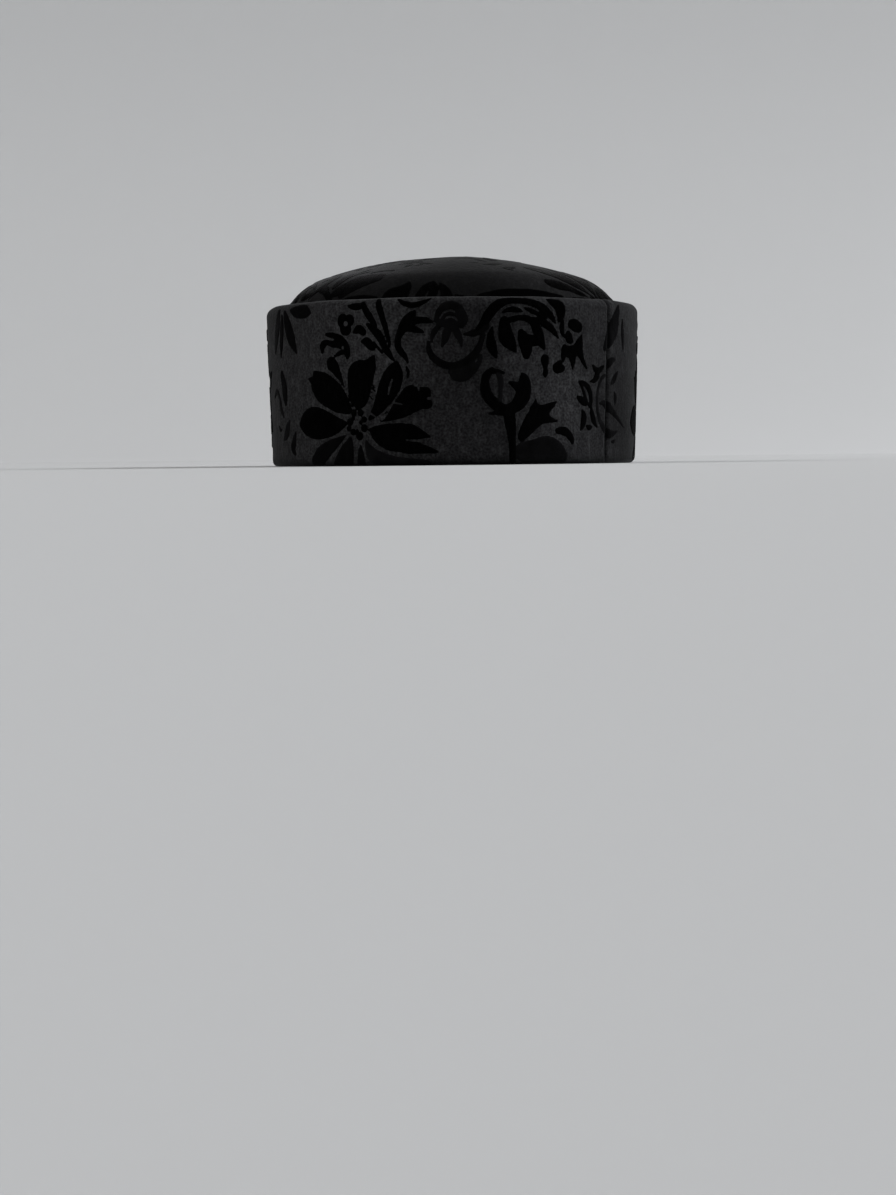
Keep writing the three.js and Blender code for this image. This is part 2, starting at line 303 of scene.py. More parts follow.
def takenIn(strokes):
    keep = np.array([*chartFit["middle"], 0]) * (1 - chartFit["scale"])
    return [np.array(knots) * chartFit["scale"] + keep for knots in strokes]


# The cloth's pattern on a grid: for every motif laid down, pile less bare, then the least of them all.
# A little noise frays the outlines and wears the nap, most where it is half worn off already.
# Returns the field, below 0 where velvet stands, and the nap there.
clothWear = {"fray": (0.14, 1.1, 3), "wear": (0.45, 3.2, 12)}  # how much, its size and its seed


def clothPattern(uLine, vLine, layout):
    field = np.full((len(uLine), len(vLine)), strokeLimits["reach"])
    nap = np.ones_like(field)
    for name, shiftU, shiftV in layout:
        motif = motifs[name]
        pile = strokesField(uLine, vLine, takenIn(motif["pile"]), (shiftU, shiftV))
        bare = strokesField(uLine, vLine, takenIn(motif.get("bare", [])), (shiftU, shiftV))
        own = np.maximum(pile, -bare)
        nap = np.where(own < field, motif["nap"], nap)
        field = np.minimum(field, own)
    grid = uLine[:, None], vLine[None, :]
    fray, wear = (softNoise(*grid, size, seed) * amount for amount, size, seed in clothWear.values())
    return field + fray, nap + wear * nap * (1 - nap)


# Puts a computed surface into a mesh: points, the corners of its faces in turn and how many each face has,
# and the place of each corner on the cloth, in centimetres, as its UV map. The attribute is a name with one
# value for each point, and creases are pairs of points between which the shading breaks.
def newPiece(name, points, corners, sizes, cloth, finish, attribute, creases=None):
    mesh = bpy.data.meshes.new(name)
    mesh.vertices.add(len(points))
    mesh.vertices.foreach_set("co", points.astype(np.float32).ravel())
    mesh.loops.add(len(corners))
    mesh.loops.foreach_set("vertex_index", corners.astype(np.int32))
    mesh.polygons.add(len(sizes))
    starts = np.concatenate([[0], np.cumsum(sizes)[:-1]])
    mesh.polygons.foreach_set("loop_start", starts.astype(np.int32))
    mesh.polygons.foreach_set("use_smooth", np.ones(len(sizes), bool))
    mesh.update(calc_edges=True)
    mesh.uv_layers.new(name="cloth").uv.foreach_set("vector", cloth.astype(np.float32).ravel())
    label, values = attribute
    mesh.attributes.new(label, "FLOAT", "POINT").data.foreach_set("value", values.astype(np.float32))
    if creases is not None:
        ends = np.empty(2 * len(mesh.edges), np.int32)
        mesh.edges.foreach_get("vertices", ends)
        low, high = np.sort(ends.reshape(-1, 2), axis=1).astype(np.int64).T
        crease = np.sort(creases, axis=1).astype(np.int64) @ [len(points), 1]
        sharp = np.isin(low * len(points) + high, crease)
        mesh.attributes.new("sharp_edge", "BOOLEAN", "EDGE").data.foreach_set("value", sharp)
    mesh.materials.append(finish)
    piece = bpy.data.objects.new(name, mesh)
    bpy.context.scene.collection.objects.link(piece)
    print(name, len(points), "points", len(sizes), "faces")
    return piece


# The band's shape, as the solid has it, and how its cloth lies over the padding.
bandShape = {
    "flare": 2.0 * mm,  # the top edge leans out this far past the rim
    "wall": 5.0 * mm,
    "topRoll": 4.2 * mm,  # radius of the outer top edge
    "rimRoll": 2.4 * mm,  # radius of the folded rim
    "innerRoll": 0.8 * mm,  # both inner corners
    "slack": 0.25 * mm,  # how far the cloth swells and dips over the padding
    "longSwells": (5, 0.4, 34, 0.6),  # waves round the band, phase, radians per metre up it, phase
    "slantSwells": (11, 1.7, 21, 0.7),  # the same, slanting, and their share
    "swellShare": 0.45,
    "dipShare": 0.5,
    "dipSize": 13,
    "dipSeed": 5,
    "slackRim": (1 * mm, 9 * mm),  # the slack begins and is full at these heights
    "slackTop": (1 * mm, 5 * mm),  # and dies out between these ways past the top edge
    "seamAt": 85 * mm,  # the closing seam, on the way round from the front
    "seamDepth": 1.2 * mm,
    "seamWidth": 0.9 * mm,
    "seamRim": (0.2 * mm, 3 * mm),  # the seam begins and is full at these heights
    "seamTop": 4 * mm,  # it goes this far past the top edge
    "puff": 0.2 * mm,  # the swelling beside the seam, how far off it is and how wide
    "puffOff": 3.2 * mm,
    "puffWidth": 1.8 * mm,
    "columns": 380,
    "seamColumns": (0.3, 0.6, 0.9, 1.3, 1.8, 2.4, 3.2, 4.5, 6),  # more columns, on both sides of the seam
    "rows": (7, 44, 10, 4, 24, 7),  # rim fold, outer face, both top edges, inner face, inner rim edge
}
bandTop = bandHigh[2]
ovalHalf = bandHigh[:2] - bandShape["flare"]

# The rim's oval as a path: at angle t from the front its point is (a sin t, -b cos t). The summed chords
# between close angles give the way round from the front, and reading that sum backwards gives t.
ovalAngle = np.linspace(-np.pi, np.pi, 7201)
ovalChord = np.hypot(np.diff(ovalHalf[0] * np.sin(ovalAngle)), np.diff(ovalHalf[1] * np.cos(ovalAngle)))
ovalWay = np.concatenate([[0], np.cumsum(ovalChord)])
girth = ovalWay[-1]


# The oval's point at the way u, and the direction square to it, which goes as (sin t / a, -cos t / b).
def ovalPath(u):
    t = np.interp((u + girth / 2) % girth, ovalWay, ovalAngle)
    spot = np.stack([ovalHalf[0] * np.sin(t), -ovalHalf[1] * np.cos(t)], -1)
    square = np.stack([np.sin(t) / ovalHalf[0], -np.cos(t) / ovalHalf[1]], -1)
    return spot, square / np.linalg.norm(square, axis=-1, keepdims=True)


# The band's wall cut through, as a closed path of (out from the rim's oval, up): four quarter circles joined
# by straight faces. The way v along it is counted so that on the outer face it is the height.
def bandSection(perRoll=12):
    flare, wall, inner = bandShape["flare"], bandShape["wall"], bandShape["innerRoll"]
    rolls = np.array([
        [0, 0, -1, 1, bandShape["rimRoll"]],
        [flare, bandTop, -1, -1, bandShape["topRoll"]],
        [flare - wall, bandTop, 1, -1, inner],
        [-wall, 0, 1, 1, inner],
    ])
    turn = (np.arange(4)[:, None] - 1 + np.linspace(0, 1, perRoll)) * np.pi / 2
    lean = np.stack([np.cos(turn), np.sin(turn)], -1)
    centre = rolls[:, :2] + rolls[:, 2:4] * rolls[:, 4:]
    path = (centre[:, None] + lean * rolls[:, 4, None, None]).reshape(-1, 2)
    path, lean = (np.vstack([a, a[:1]]) for a in (path, lean.reshape(-1, 2)))
    way = np.concatenate([[0], np.cumsum(np.linalg.norm(np.diff(path, axis=0), axis=1))])
    return way + bandShape["rimRoll"] - way[perRoll - 1], path, lean


sectionWay, sectionPath, sectionLean = bandSection()


# The section at v: out and up, and the direction square to it, read along the closed path.
def sectionAt(v):
    at = (v - sectionWay[0]) % (sectionWay[-1] - sectionWay[0]) + sectionWay[0]
    return [np.interp(at, sectionWay, column) for column in (*sectionPath.T, *sectionLean.T)]


# How far the band's cloth stands off its padding: long swells, small dips, and a groove with puffed sides
# along the closing seam. It dies out at the rim and past the top edge.
def bandSlack(u, v):
    turn = 2 * np.pi * u / girth
    waves, phase, climb, climbPhase = bandShape["longSwells"]
    swell = np.sin(waves * turn + phase) * np.sin(climb * v + climbPhase)
    waves, phase, climb, share = bandShape["slantSwells"]
    swell = swell + share * np.sin(waves * turn + phase + climb * v)
    dips = softNoise(u / mm, v / mm, bandShape["dipSize"], bandShape["dipSeed"])
    dying, gone = bandShape["slackTop"]
    shown = ease(v, *bandShape["slackRim"]) * (1 - ease(v, bandTop + dying, bandTop + gone))
    off = (u - bandShape["seamAt"] + girth / 2) % girth - girth / 2
    groove = np.exp(-(off / bandShape["seamWidth"]) ** 2)
    puff = np.exp(-((np.abs(off) - bandShape["puffOff"]) / bandShape["puffWidth"]) ** 2) * bandShape["puff"]
    seam = (puff - groove * bandShape["seamDepth"]) * ease(v, *bandShape["seamRim"])
    loose = (swell * bandShape["swellShare"] + dips * bandShape["dipShare"]) * bandShape["slack"]
    return loose * shown + seam * (v < bandTop + bandShape["seamTop"])


# How light the ground is: painted light and painted shade in broad patches, each a round bump of (u, v,
# radius, gain) on the chart, over soft noise that runs all round and varies the tone at random.
bandToneAndPaintedLight = {
    "paintedLightAndShadePatches": [(-40, 54, 32, 0.55), (52, 26, 17, 0.68), (42, 46, 12, 0.3), (27, 45, 9, 0.5),
                (7, 50, 18, -0.2), (6, 13, 13, 0.18), (108, 34, 30, -0.42), (103, 10, 17, -0.34)],
    "noise": 0.12,
    "noiseSize": 24,
    "noiseSeed": 21,
    "hem": 5.0 * mm,  # painted shade reaches up to this far from the rim's fold, where the cloth turns under
    # how dark the painted shade at the fold is
    "hemPaintedShade": 0.6,
}


# The tone at a place: 1 plus the noise there, plus each painted patch's gain (above 0 painted light, below 0
# painted shade) times exp(-(distance / radius)^2).
def clothToneAndPaintedLight(u, v, toneAndPaintedLight):
    light = 1 + softNoise(u, v, toneAndPaintedLight["noiseSize"], toneAndPaintedLight["noiseSeed"]) * toneAndPaintedLight["noise"]
    for middleU, middleV, radius, gain in toneAndPaintedLight["paintedLightAndShadePatches"]:
        light = light + gain * np.exp(-((u - middleU) ** 2 + (v - middleV) ** 2) / radius ** 2)
    return light


# A point of the band's cloth: the oval's point at u, moved square to it by the section at v, then lifted
# along the section's own direction there.
def onBand(u, v, lift):
    spot, square = ovalPath(u)
    out, up, leanOut, leanUp = sectionAt(v)
    reach = lift + bandSlack(u, v)
    across = spot + square * (out + reach * leanOut)[..., None]
    return np.concatenate([across, np.maximum(up + reach * leanUp, 0)[..., None]], -1)


# Every cloth mixes the same three grains: each one's detail, and the stretch of its noise that is drawn out
# from 0 to 1.
grains = {"speck": (3, 0.34, 0.66), "streak": (2, 0.5, 0.85), "broad": (2, 0.35, 0.75)}


# Base, noise and bump are wired; what is the same all over is set on the shader's own sockets.
def clothFinish(name, look):
    finish = bpy.data.materials.new(name)
    finish.use_nodes = True
    nodes, links = finish.node_tree.nodes, finish.node_tree.links
    shader = nodes["Principled BSDF"]
    for socket, value in look["sockets"].items():
        shader.inputs[socket].default_value = value
    place = nodes.new("ShaderNodeUVMap")
    place.uv_map = "cloth"

    def grain(kind, stretch=(1, 1, 1)):  # noise on the cloth's map, at the look's scale
        turn = nodes.new("ShaderNodeMapping")
        turn.inputs["Scale"].default_value = stretch
        noise = nodes.new("ShaderNodeTexNoise")
        noise.inputs["Scale"].default_value = look[kind]
        noise.inputs["Detail"].default_value = grains[kind][0]
        links.new(place.outputs["UV"], turn.inputs["Vector"])
        links.new(turn.outputs["Vector"], noise.inputs["Vector"])
        return noise.outputs["Fac"]

    def drawn(kind, value):  # a grain drawn out from 0 to 1
        node = nodes.new("ShaderNodeMapRange")
        node.inputs["From Min"].default_value, node.inputs["From Max"].default_value = grains[kind][1:]
        links.new(value, node.inputs["Value"])
        return node.outputs["Result"]

    def mixed(blend, one, two, share=None):  # two colours, blended by a share or in full
        node = nodes.new("ShaderNodeMix")
        node.data_type, node.blend_type = "RGBA", blend
        node.inputs["Factor"].default_value = 1
        colourA, colourB, colourOut = node.inputs[6], node.inputs[7], node.outputs[2]
        for socket, value in ((colourA, one), (colourB, two)):
            if isinstance(value, tuple):
                socket.default_value = (*value, 1)
            else:
                links.new(value, socket)
        if share is not None:
            links.new(share, node.inputs["Factor"])
        return colourOut

    def stored(label):  # what newPiece put on the points
        node = nodes.new("ShaderNodeAttribute")
        node.attribute_name = label
        return node.outputs["Fac"]

    speck, streak, broad = grain("speck"), grain("streak", look["streakShape"]), grain("broad")
    colour = mixed("MIX", look["dark"], look["light"], drawn("speck", speck))
    colour = mixed("MIX", colour, look["streakColour"], drawn("streak", streak))
    colour = mixed("MULTIPLY", colour, look["shade"], drawn("broad", broad))
    if look.get("thin"):
        colour = mixed("MIX", look["thin"], colour, stored("nap"))
    # the stored tone: random, with painted pools of light and painted shade
    if look.get("toneAndPaintedLight"):
        colour = mixed("MULTIPLY", colour, stored("toneAndPaintedLight"))
    links.new(colour, shader.inputs["Base Color"])
    rise = nodes.new("ShaderNodeMath")
    rise.operation = "ADD"
    links.new(speck, rise.inputs[0])
    links.new(streak, rise.inputs[1])
    bump = nodes.new("ShaderNodeBump")
    bump.inputs["Strength"].default_value = look["bump"]
    bump.inputs["Distance"].default_value = look["bumpHeight"]
    links.new(rise.outputs["Value"], bump.inputs["Height"])
    links.new(bump.outputs["Normal"], shader.inputs["Normal"])
    return finish


# Each cloth's colours, the scales of its grains, its bump, and what is the same all over it. "thin" is the
# colour of worn nap, and a true flag for the stored tone says that the ground's random tone, with painted
# light and shade, is read.
groundLook = {
    "dark": (0.0048, 0.0048, 0.0049), "light": (0.0172, 0.0172, 0.0178),
    "streakColour": (0.024, 0.024, 0.0248), "shade": (0.55, 0.55, 0.56),
    "speck": 9.5, "streak": 5.0, "streakShape": (1, 0.45, 1), "broad": 2.2, "toneAndPaintedLight": True,
    "bump": 0.55, "bumpHeight": 0.25 * mm,
    "sockets": {"Roughness": 0.95, "Specular IOR Level": 0.03,
                "Sheen Weight": 0.032, "Sheen Roughness": 0.3},
}
pileLook = {
    "dark": (0.0003, 0.0003, 0.0003), "light": (0.001, 0.001, 0.001),
    "streakColour": (0.0016, 0.0016, 0.0017), "shade": (0.7, 0.7, 0.72), "thin": (0.009, 0.009, 0.0094),
    "speck": 22.0, "streak": 6.0, "streakShape": (1, 0.3, 1), "broad": 0.8,
    "bump": 0.6, "bumpHeight": 0.2 * mm,
    "sockets": {"Roughness": 1.0, "Specular IOR Level": 0.0,
                "Sheen Weight": 0.045, "Sheen Roughness": 0.25},
}
# The crown's looks are the band's velvet with darker colours: painted shade, a shaded copy of the same cloth
# for the crown. Their sheen settings are the shader's own.
crownGroundShadedLook = {
    **groundLook, "dark": (0.0015, 0.0015, 0.0015), "light": (0.0039, 0.0039, 0.004),
    "streakColour": (0.0056, 0.0056, 0.0057),
    "sockets": {**groundLook["sockets"], "Sheen Weight": 0.088, "Sheen Roughness": 0.21},
}
crownPileShadedLook = {
    **pileLook, "light": (0.0007, 0.0007, 0.0007), "thin": (0.0015, 0.0015, 0.0015),
    "sockets": {**pileLook["sockets"], "Sheen Weight": 0.096, "Sheen Roughness": 0.21},
}
groundVelvet = clothFinish("groundVelvet", groundLook)
pileVelvet = clothFinish("pileVelvet", pileLook)
crownGroundShadedVelvet = clothFinish("crownGroundShadedVelvet", crownGroundShadedLook)
crownPileShadedVelvet = clothFinish("crownPileShadedVelvet", crownPileShadedLook)


# Corners of the quads of a grid of rows by columns, numbered row by row, and each corner's row and column.
# Where a direction is closed, its last quads join the first, with the row or column counted on past the end.
def gridQuads(rows, columns, closedRows, closedColumns):
    i, j = np.indices((rows - (not closedRows), columns - (not closedColumns))).reshape(2, -1)
    pick = [(i, j), (i + 1, j), (i + 1, j + 1), (i, j + 1)]
    return np.stack([(a % rows) * columns + b % columns for a, b in pick], -1), np.stack(pick, -1)


# The band's ground: the section carried round the oval, closed both ways.
def makeBandGround():
    plan = np.linspace(-girth / 2, girth / 2, bandShape["columns"], endpoint=False)
    beside = np.array(bandShape["seamColumns"])
    beside = np.concatenate([-beside[::-1], [0], beside]) * mm
    u = np.unique(np.concatenate([plan, bandShape["seamAt"] + beside]))
    fold = bandShape["rimRoll"]
    faceEnd = bandTop - bandShape["topRoll"]
    over = faceEnd + bandShape["topRoll"] * np.pi / 2
    inside = over + bandShape["innerRoll"] * np.pi / 2
    insideEnd = inside + bandTop - 2 * bandShape["innerRoll"]
    marks = [sectionWay[0], fold, faceEnd, over, inside, insideEnd, sectionWay[-1]]
    v = np.concatenate([np.linspace(start, end, rows, endpoint=False)
                        for start, end, rows in zip(marks, marks[1:], bandShape["rows"])])
    points = onBand(*np.broadcast_arrays(u[:, None], v[None, :]), 0.0)
    corners, steps = gridQuads(len(u), len(v), True, True)
    uAll, vAll = np.append(u, u[0] + girth), np.append(v, sectionWay[-1])
    cloth = np.stack([uAll[steps[0]], vAll[steps[1]]], -1) / cm
    # painted light and shade in patches over random tone, then painted shade along the rim's fold
    toneAndPaintedLight = clothToneAndPaintedLight(*np.broadcast_arrays(u[:, None] / mm, v[None, :] / mm), bandToneAndPaintedLight)
    toneAndPaintedLight = toneAndPaintedLight * (1 - bandToneAndPaintedLight["hemPaintedShade"] * (1 - ease(v, 0, bandToneAndPaintedLight["hem"])))
    return newPiece("band_ground", points.reshape(-1, 3), corners.ravel(), np.full(len(corners), 4),
                    cloth.reshape(-1, 2), groundVelvet, ("toneAndPaintedLight", toneAndPaintedLight.ravel()))


# How the velvet stands on the ground, on the band and the crown alike.
pileShape = {
    "height": 0.4 * mm,
    "roll": 0.5 * mm,  # the edge of a motif rounds over this far in
    "edge": 0.25,  # share of the height that stands at the very edge
    "root": 0.35 * mm,  # how deep the velvet's underside lies in the cloth
    "tufts": 0.06 * mm,  # unevenness of the cut ends
    "tuftSize": 0.9,
    "tuftSeed": 8,
    "joins": 3,
    "slide": 0.8,  # the most that a corner slides onto the outline, in cells
    "leastSlope": 0.25,  # the field's slope, squared, is taken to be at least this
}


# The velvet of one stretch of cloth, as closed bodies: the cells of a grid whose middle lies inside the
# pattern. Corners on an outline slide along the field's slope onto it, the top rounds up from there as a
# quarter circle in the depth, the underside lies in the ground, and walls join the two wherever a cell has
# no neighbour.
def makePile(name, uLine, vLine, field, nap, onCloth, fade, finish):
    kept = (field[:-1, :-1] + field[1:, :-1] + field[:-1, 1:] + field[1:, 1:]) < 0
    for _ in range(pileShape["joins"]):  # cells that meet only at a corner get a third one between them
        falling = kept[:-1, :-1] & kept[1:, 1:] & ~kept[1:, :-1] & ~kept[:-1, 1:]
        rising = ~kept[:-1, :-1] & ~kept[1:, 1:] & kept[1:, :-1] & kept[:-1, 1:]
        kept[1:, :-1] |= falling
        kept[:-1, :-1] |= rising
    padded = np.pad(kept, 1)
    around = padded[:-1, :-1].astype(int) + padded[1:, :-1] + padded[:-1, 1:] + padded[1:, 1:]
    used, inside = around > 0, around == 4  # corners of any kept cell, and of four
    cell = uLine[1] - uLine[0]
    slopeU, slopeV = np.gradient(field, cell)
    steep = np.maximum(slopeU ** 2 + slopeV ** 2, pileShape["leastSlope"])
    rim = used & ~inside
    rim[[0, -1]] = False
    rim[:, [0, -1]] = False
    most = pileShape["slide"] * cell
    slide = np.where(rim, np.clip(field, -most, most) / steep, 0)
    u = (uLine[:, None] - slide * slopeU) * mm
    v = (vLine[None, :] - slide * slopeV) * mm
    depth = np.clip(-field * mm / pileShape["roll"], 0, 1) * inside
    rounded = np.sqrt(1 - (1 - depth) ** 2)
    stand = pileShape["edge"] + (1 - pileShape["edge"]) * rounded
    uneven = softNoise(uLine[:, None], vLine[None, :], pileShape["tuftSize"], pileShape["tuftSeed"])
    lift = (pileShape["height"] * stand * nap + uneven * pileShape["tufts"] * rounded) * fade
    count = int(used.sum())
    number = np.full(used.shape, -1)
    number[used] = np.arange(count)
    top = onCloth(u[used], v[used], lift[used])
    under = onCloth(u[used], v[used], np.full(count, -pileShape["root"]))
    i, j = np.nonzero(kept)
    quads = np.stack([number[i, j], number[i + 1, j], number[i + 1, j + 1], number[i, j + 1]], -1)
    # each side of a cell: where its neighbour lies, and the two corners between them
    sides = [((-1, 0), (0, 1), (0, 0)), ((1, 0), (1, 0), (1, 1)),
             ((0, -1), (0, 0), (1, 0)), ((0, 1), (1, 1), (0, 1))]
    walls = []
    for (di, dj), (a, b), (c, d) in sides:
        alone = ~padded[i + 1 + di, j + 1 + dj]
        start, end = number[i + a, j + b][alone], number[i + c, j + d][alone]
        walls.append(np.stack([end, start, start + count, end + count], -1))
    walls = np.concatenate(walls)
    corners = np.concatenate([quads, quads[:, ::-1] + count, walls]).ravel()
    creases = np.concatenate([walls[:, :2], walls[:, 2:]])
    flat = np.stack([u[used], v[used]], -1) / cm
    cloth = np.concatenate([flat, flat])[corners]
    sizes = np.full(len(corners) // 4, 4)
    both = np.concatenate([nap[used], nap[used]])
    points = np.concatenate([top, under])
    return newPiece(name, points, corners, sizes, cloth, finish, ("nap", both), creases)


# The band's cloth is one strip that runs from the closing seam round the back and the front to it again.
# Each row lays one motif: its name and how far it is shifted along the strip. The repeat is 204 mm wide.
bandLayout = {
    "cell": 0.5,
    "low": 0.4,  # where the velvet stops at the rim, and past the top edge
    "high": 76.4,
    "seamGap": 0.7,
    "fadeBelow": 0.5,  # the velvet rises from this far below its low end
    "fadeIn": 3.5,  # to its full height here
    "fadeOut": 72,  # and from here up it loses this share again
    "fadeShare": 0.85,
    "front": [(name, 0, 0) for name in motifs],
    "left": [(name, -204, 0) for name in motifs if not name.startswith("seam")],
    "right": [(name, -390, 0) for name in motifs if not name.startswith(("seam", "side", "filigree"))]
    + [("seamSide", -girth / mm, 0)],
    # each stretch begins and ends here; the front's end and the right one's beginning are the seam
    "ends": {"front": (-120.5, 85), "left": (-319.5, -120.5), "right": (85 - girth / mm, -319.5)},
}


# The band's velvet in three stretches, with the height fading towards the rim and over the top edge.
def makeBandPile():
    pieces = []
    layout = bandLayout["front"] + bandLayout["left"] + bandLayout["right"]
    for side, (start, end) in bandLayout["ends"].items():
        first = start + bandLayout["seamGap"] * (side == "right")
        last = end - bandLayout["seamGap"] * (side == "front")
        columns = int(round((last - first) / bandLayout["cell"]))
        uLine = np.linspace(first, last, columns + 1)
        vLine = np.arange(bandLayout["low"], bandLayout["high"], uLine[1] - uLine[0])
        field, nap = clothPattern(uLine, vLine, layout)
        rising = ease(vLine, bandLayout["low"] - bandLayout["fadeBelow"], bandLayout["fadeIn"])
        fade = rising * (1 - bandLayout["fadeShare"] * ease(vLine, bandLayout["fadeOut"], bandLayout["high"]))
        fade = fade[None, :]
        pieces.append(makePile("band_pile_" + side, uLine, vLine, field, nap, onBand, fade, pileVelvet))
    return pieces


# The crown: a dome whose cloth turns down inside the band. Sizes as the solid has them.
crownShape = {
    "domeRadius": 186 * mm,
    "domeHalf": 61 * mm,
    "shoulder": 30.5 * mm,
    "slope": np.radians(52),
    "tuck": 6 * mm,
    "wall": 2 * mm,
    "seamIn": 1 * mm,  # the dome goes out of sight behind the band this far before the skirt
    "puckers": 0.55 * mm,  # gathers along the seam
    "puckerReach": 9 * mm,
    "puckerIn": 3 * mm,  # they are deepest this far in from the seam
    "ripples": [(37, 0, 2.2, 5, 0.6), (61, 1.1, 3, 3, 0.4)],  # waves, phase, swing, swings, share
    "uneven": (0.45, 0.55, 4, 0.8),  # least share of a ripple, what waves add to it, how many, phase
    "dents": (3, 0.5, 0.35 * mm),  # waves, phase, height
    "sectors": 288,
    "rings": (48, 7),  # on the dome and down the skirt
    "flat": (0.205, 0.25),  # the oval that it is cut to
}
crownTop = crownHigh[2]
crownHem = crownLow[2]
crownEdge = crownHigh[0]
crownStretch = crownHigh[1] / crownHigh[0]


# The crown's outline from the top of the dome out to its hem, as (out, up) with the direction square to it:
# a wide arc, a tighter one, a straight slope, a small arc turning down, and a straight skirt.
def crownOutline(perArc=40):
    dome, shoulder, tuck = crownShape["domeRadius"], crownShape["shoulder"], crownShape["tuck"]
    lean, slope = np.arcsin(crownShape["domeHalf"] / dome), crownShape["slope"]
    domeAt = np.array([0, crownTop - dome])
    shoulderAt = np.array([np.sin(lean), np.cos(lean)]) * (dome - shoulder) + domeAt
    tighter = (shoulder - tuck) * np.array([np.sin(slope), np.cos(slope)])
    across = crownEdge - tuck - shoulderAt[0] - tighter[0]
    tuckAt = shoulderAt + tighter + np.array([across, -across * np.tan(slope)])
    bends = [0, lean, slope, np.pi / 2]
    turns = [np.linspace(start, end, perArc) for start, end in zip(bends, bends[1:])]
    square = [np.stack([np.sin(turn), np.cos(turn)], -1) for turn in turns]
    arcs = zip((domeAt, shoulderAt, tuckAt), square, (dome, shoulder, tuck))
    path = [middle + direction * radius for middle, direction, radius in arcs]
    path = np.vstack([*path, [crownEdge, crownHem]])
    square = np.vstack([*square, [1, 0]])
    way = np.concatenate([[0], np.cumsum(np.linalg.norm(np.diff(path, axis=0), axis=1))])
    return way, path, square


outlineWay, outlinePath, outlineSquare = crownOutline()
seamWay = outlineWay[-2] - crownShape["seamIn"]


# Gathers in the crown's cloth: uneven ripples round the seam that die out up the dome, over long soft dents.
def crownSlack(angle, way):
    ripple = sum(np.sin(waves * angle + phase + swing * np.sin(swings * angle)) * share
                 for waves, phase, swing, swings, share in crownShape["ripples"])
    least, more, waves, phase = crownShape["uneven"]
    uneven = least + more * np.sin(waves * angle + phase) ** 2
    near = np.exp(-((way - seamWay + crownShape["puckerIn"]) / crownShape["puckerReach"]) ** 2)
    waves, phase, height = crownShape["dents"]
    dents = np.sin(waves * angle + phase) * np.sin(way / seamWay * np.pi) * height
    return ripple * uneven * near * crownShape["puckers"] + dents


# A point of the crown's cloth: p and q on the flat cloth, from its middle, give a direction and a way out
# along the outline, measured with q shortened by the oval's stretch. The lift goes square to the dome.
def onCrown(p, q, lift):
    way = np.hypot(p, q / crownStretch)
    angle = np.arctan2(p, -q / crownStretch)
    columns = (*outlinePath.T, *outlineSquare.T)
    out, up, squareOut, squareUp = (np.interp(way, outlineWay, column) for column in columns)
    square = np.stack([np.sin(angle) * squareOut, -np.cos(angle) * squareOut / crownStretch, squareUp], -1)
    square /= np.linalg.norm(square, axis=-1, keepdims=True)
    spot = np.stack([np.sin(angle) * out, -np.cos(angle) * out * crownStretch, up], -1)
    return spot + square * (lift + crownSlack(angle, way))[..., None]


# The crown's random tone, as the band's, with p and q for u and v, with painted shade over the front and a
# painted pool of light to the right.
crownToneAndPaintedLight = {
    "paintedLightAndShadePatches": [(8, -74, 36, -0.4), (44, -52, 28, 1.7)],
    "noise": 0.35,
    "noiseSize": 19,
    "noiseSeed": 21,
}


# The crown's ground: outer and inner face as rings from the middle of the dome to the hem, joined there,
# with one point at the middle of each face.
def makeCrownGround():
    onDome, onSkirt = crownShape["rings"]
    rings = [np.linspace(0, seamWay, onDome)[1:], np.linspace(seamWay, outlineWay[-1], onSkirt)[1:]]
    rings = np.concatenate(rings)
    angle = np.linspace(-np.pi, np.pi, crownShape["sectors"], endpoint=False)
    p = rings[:, None] * np.sin(angle)
    q = -rings[:, None] * np.cos(angle) * crownStretch
    outer = onCrown(p, q, 0.0)
    inner = onCrown(p, q, -crownShape["wall"])
    tip = np.zeros(1)
    tips = np.concatenate([onCrown(tip, tip, 0.0), onCrown(tip, tip, -crownShape["wall"])])
    points = np.concatenate([outer.reshape(-1, 3), inner[::-1].reshape(-1, 3), tips])
    quads, _ = gridQuads(2 * len(rings), crownShape["sectors"], False, True)
    flat = np.stack([np.concatenate([p, p[::-1]]).ravel(), np.concatenate([q, q[::-1]]).ravel()], -1)
    flat = np.concatenate([flat, np.zeros((2, 2))]) / cm
    j = np.arange(crownShape["sectors"])
    after = (j + 1) % crownShape["sectors"]
    last = (2 * len(rings) - 1) * crownShape["sectors"]
    outerTip, innerTip = len(points) - 2, len(points) - 1
    fans = np.concatenate([np.stack([np.full_like(j, outerTip), j, after], -1),
                           np.stack([np.full_like(j, innerTip), last + after, last + j], -1)])
    corners = np.concatenate([quads.ravel(), fans.ravel()])
    sizes = np.concatenate([np.full(len(quads), 4), np.full(len(fans), 3)])
    # random tone with painted shade and painted light on the crown's ground
    toneAndPaintedLight = clothToneAndPaintedLight(*flat.T * (cm / mm), crownToneAndPaintedLight)
    return newPiece("crown_ground", points, corners, sizes, flat[corners], crownGroundShadedVelvet, ("toneAndPaintedLight", toneAndPaintedLight))


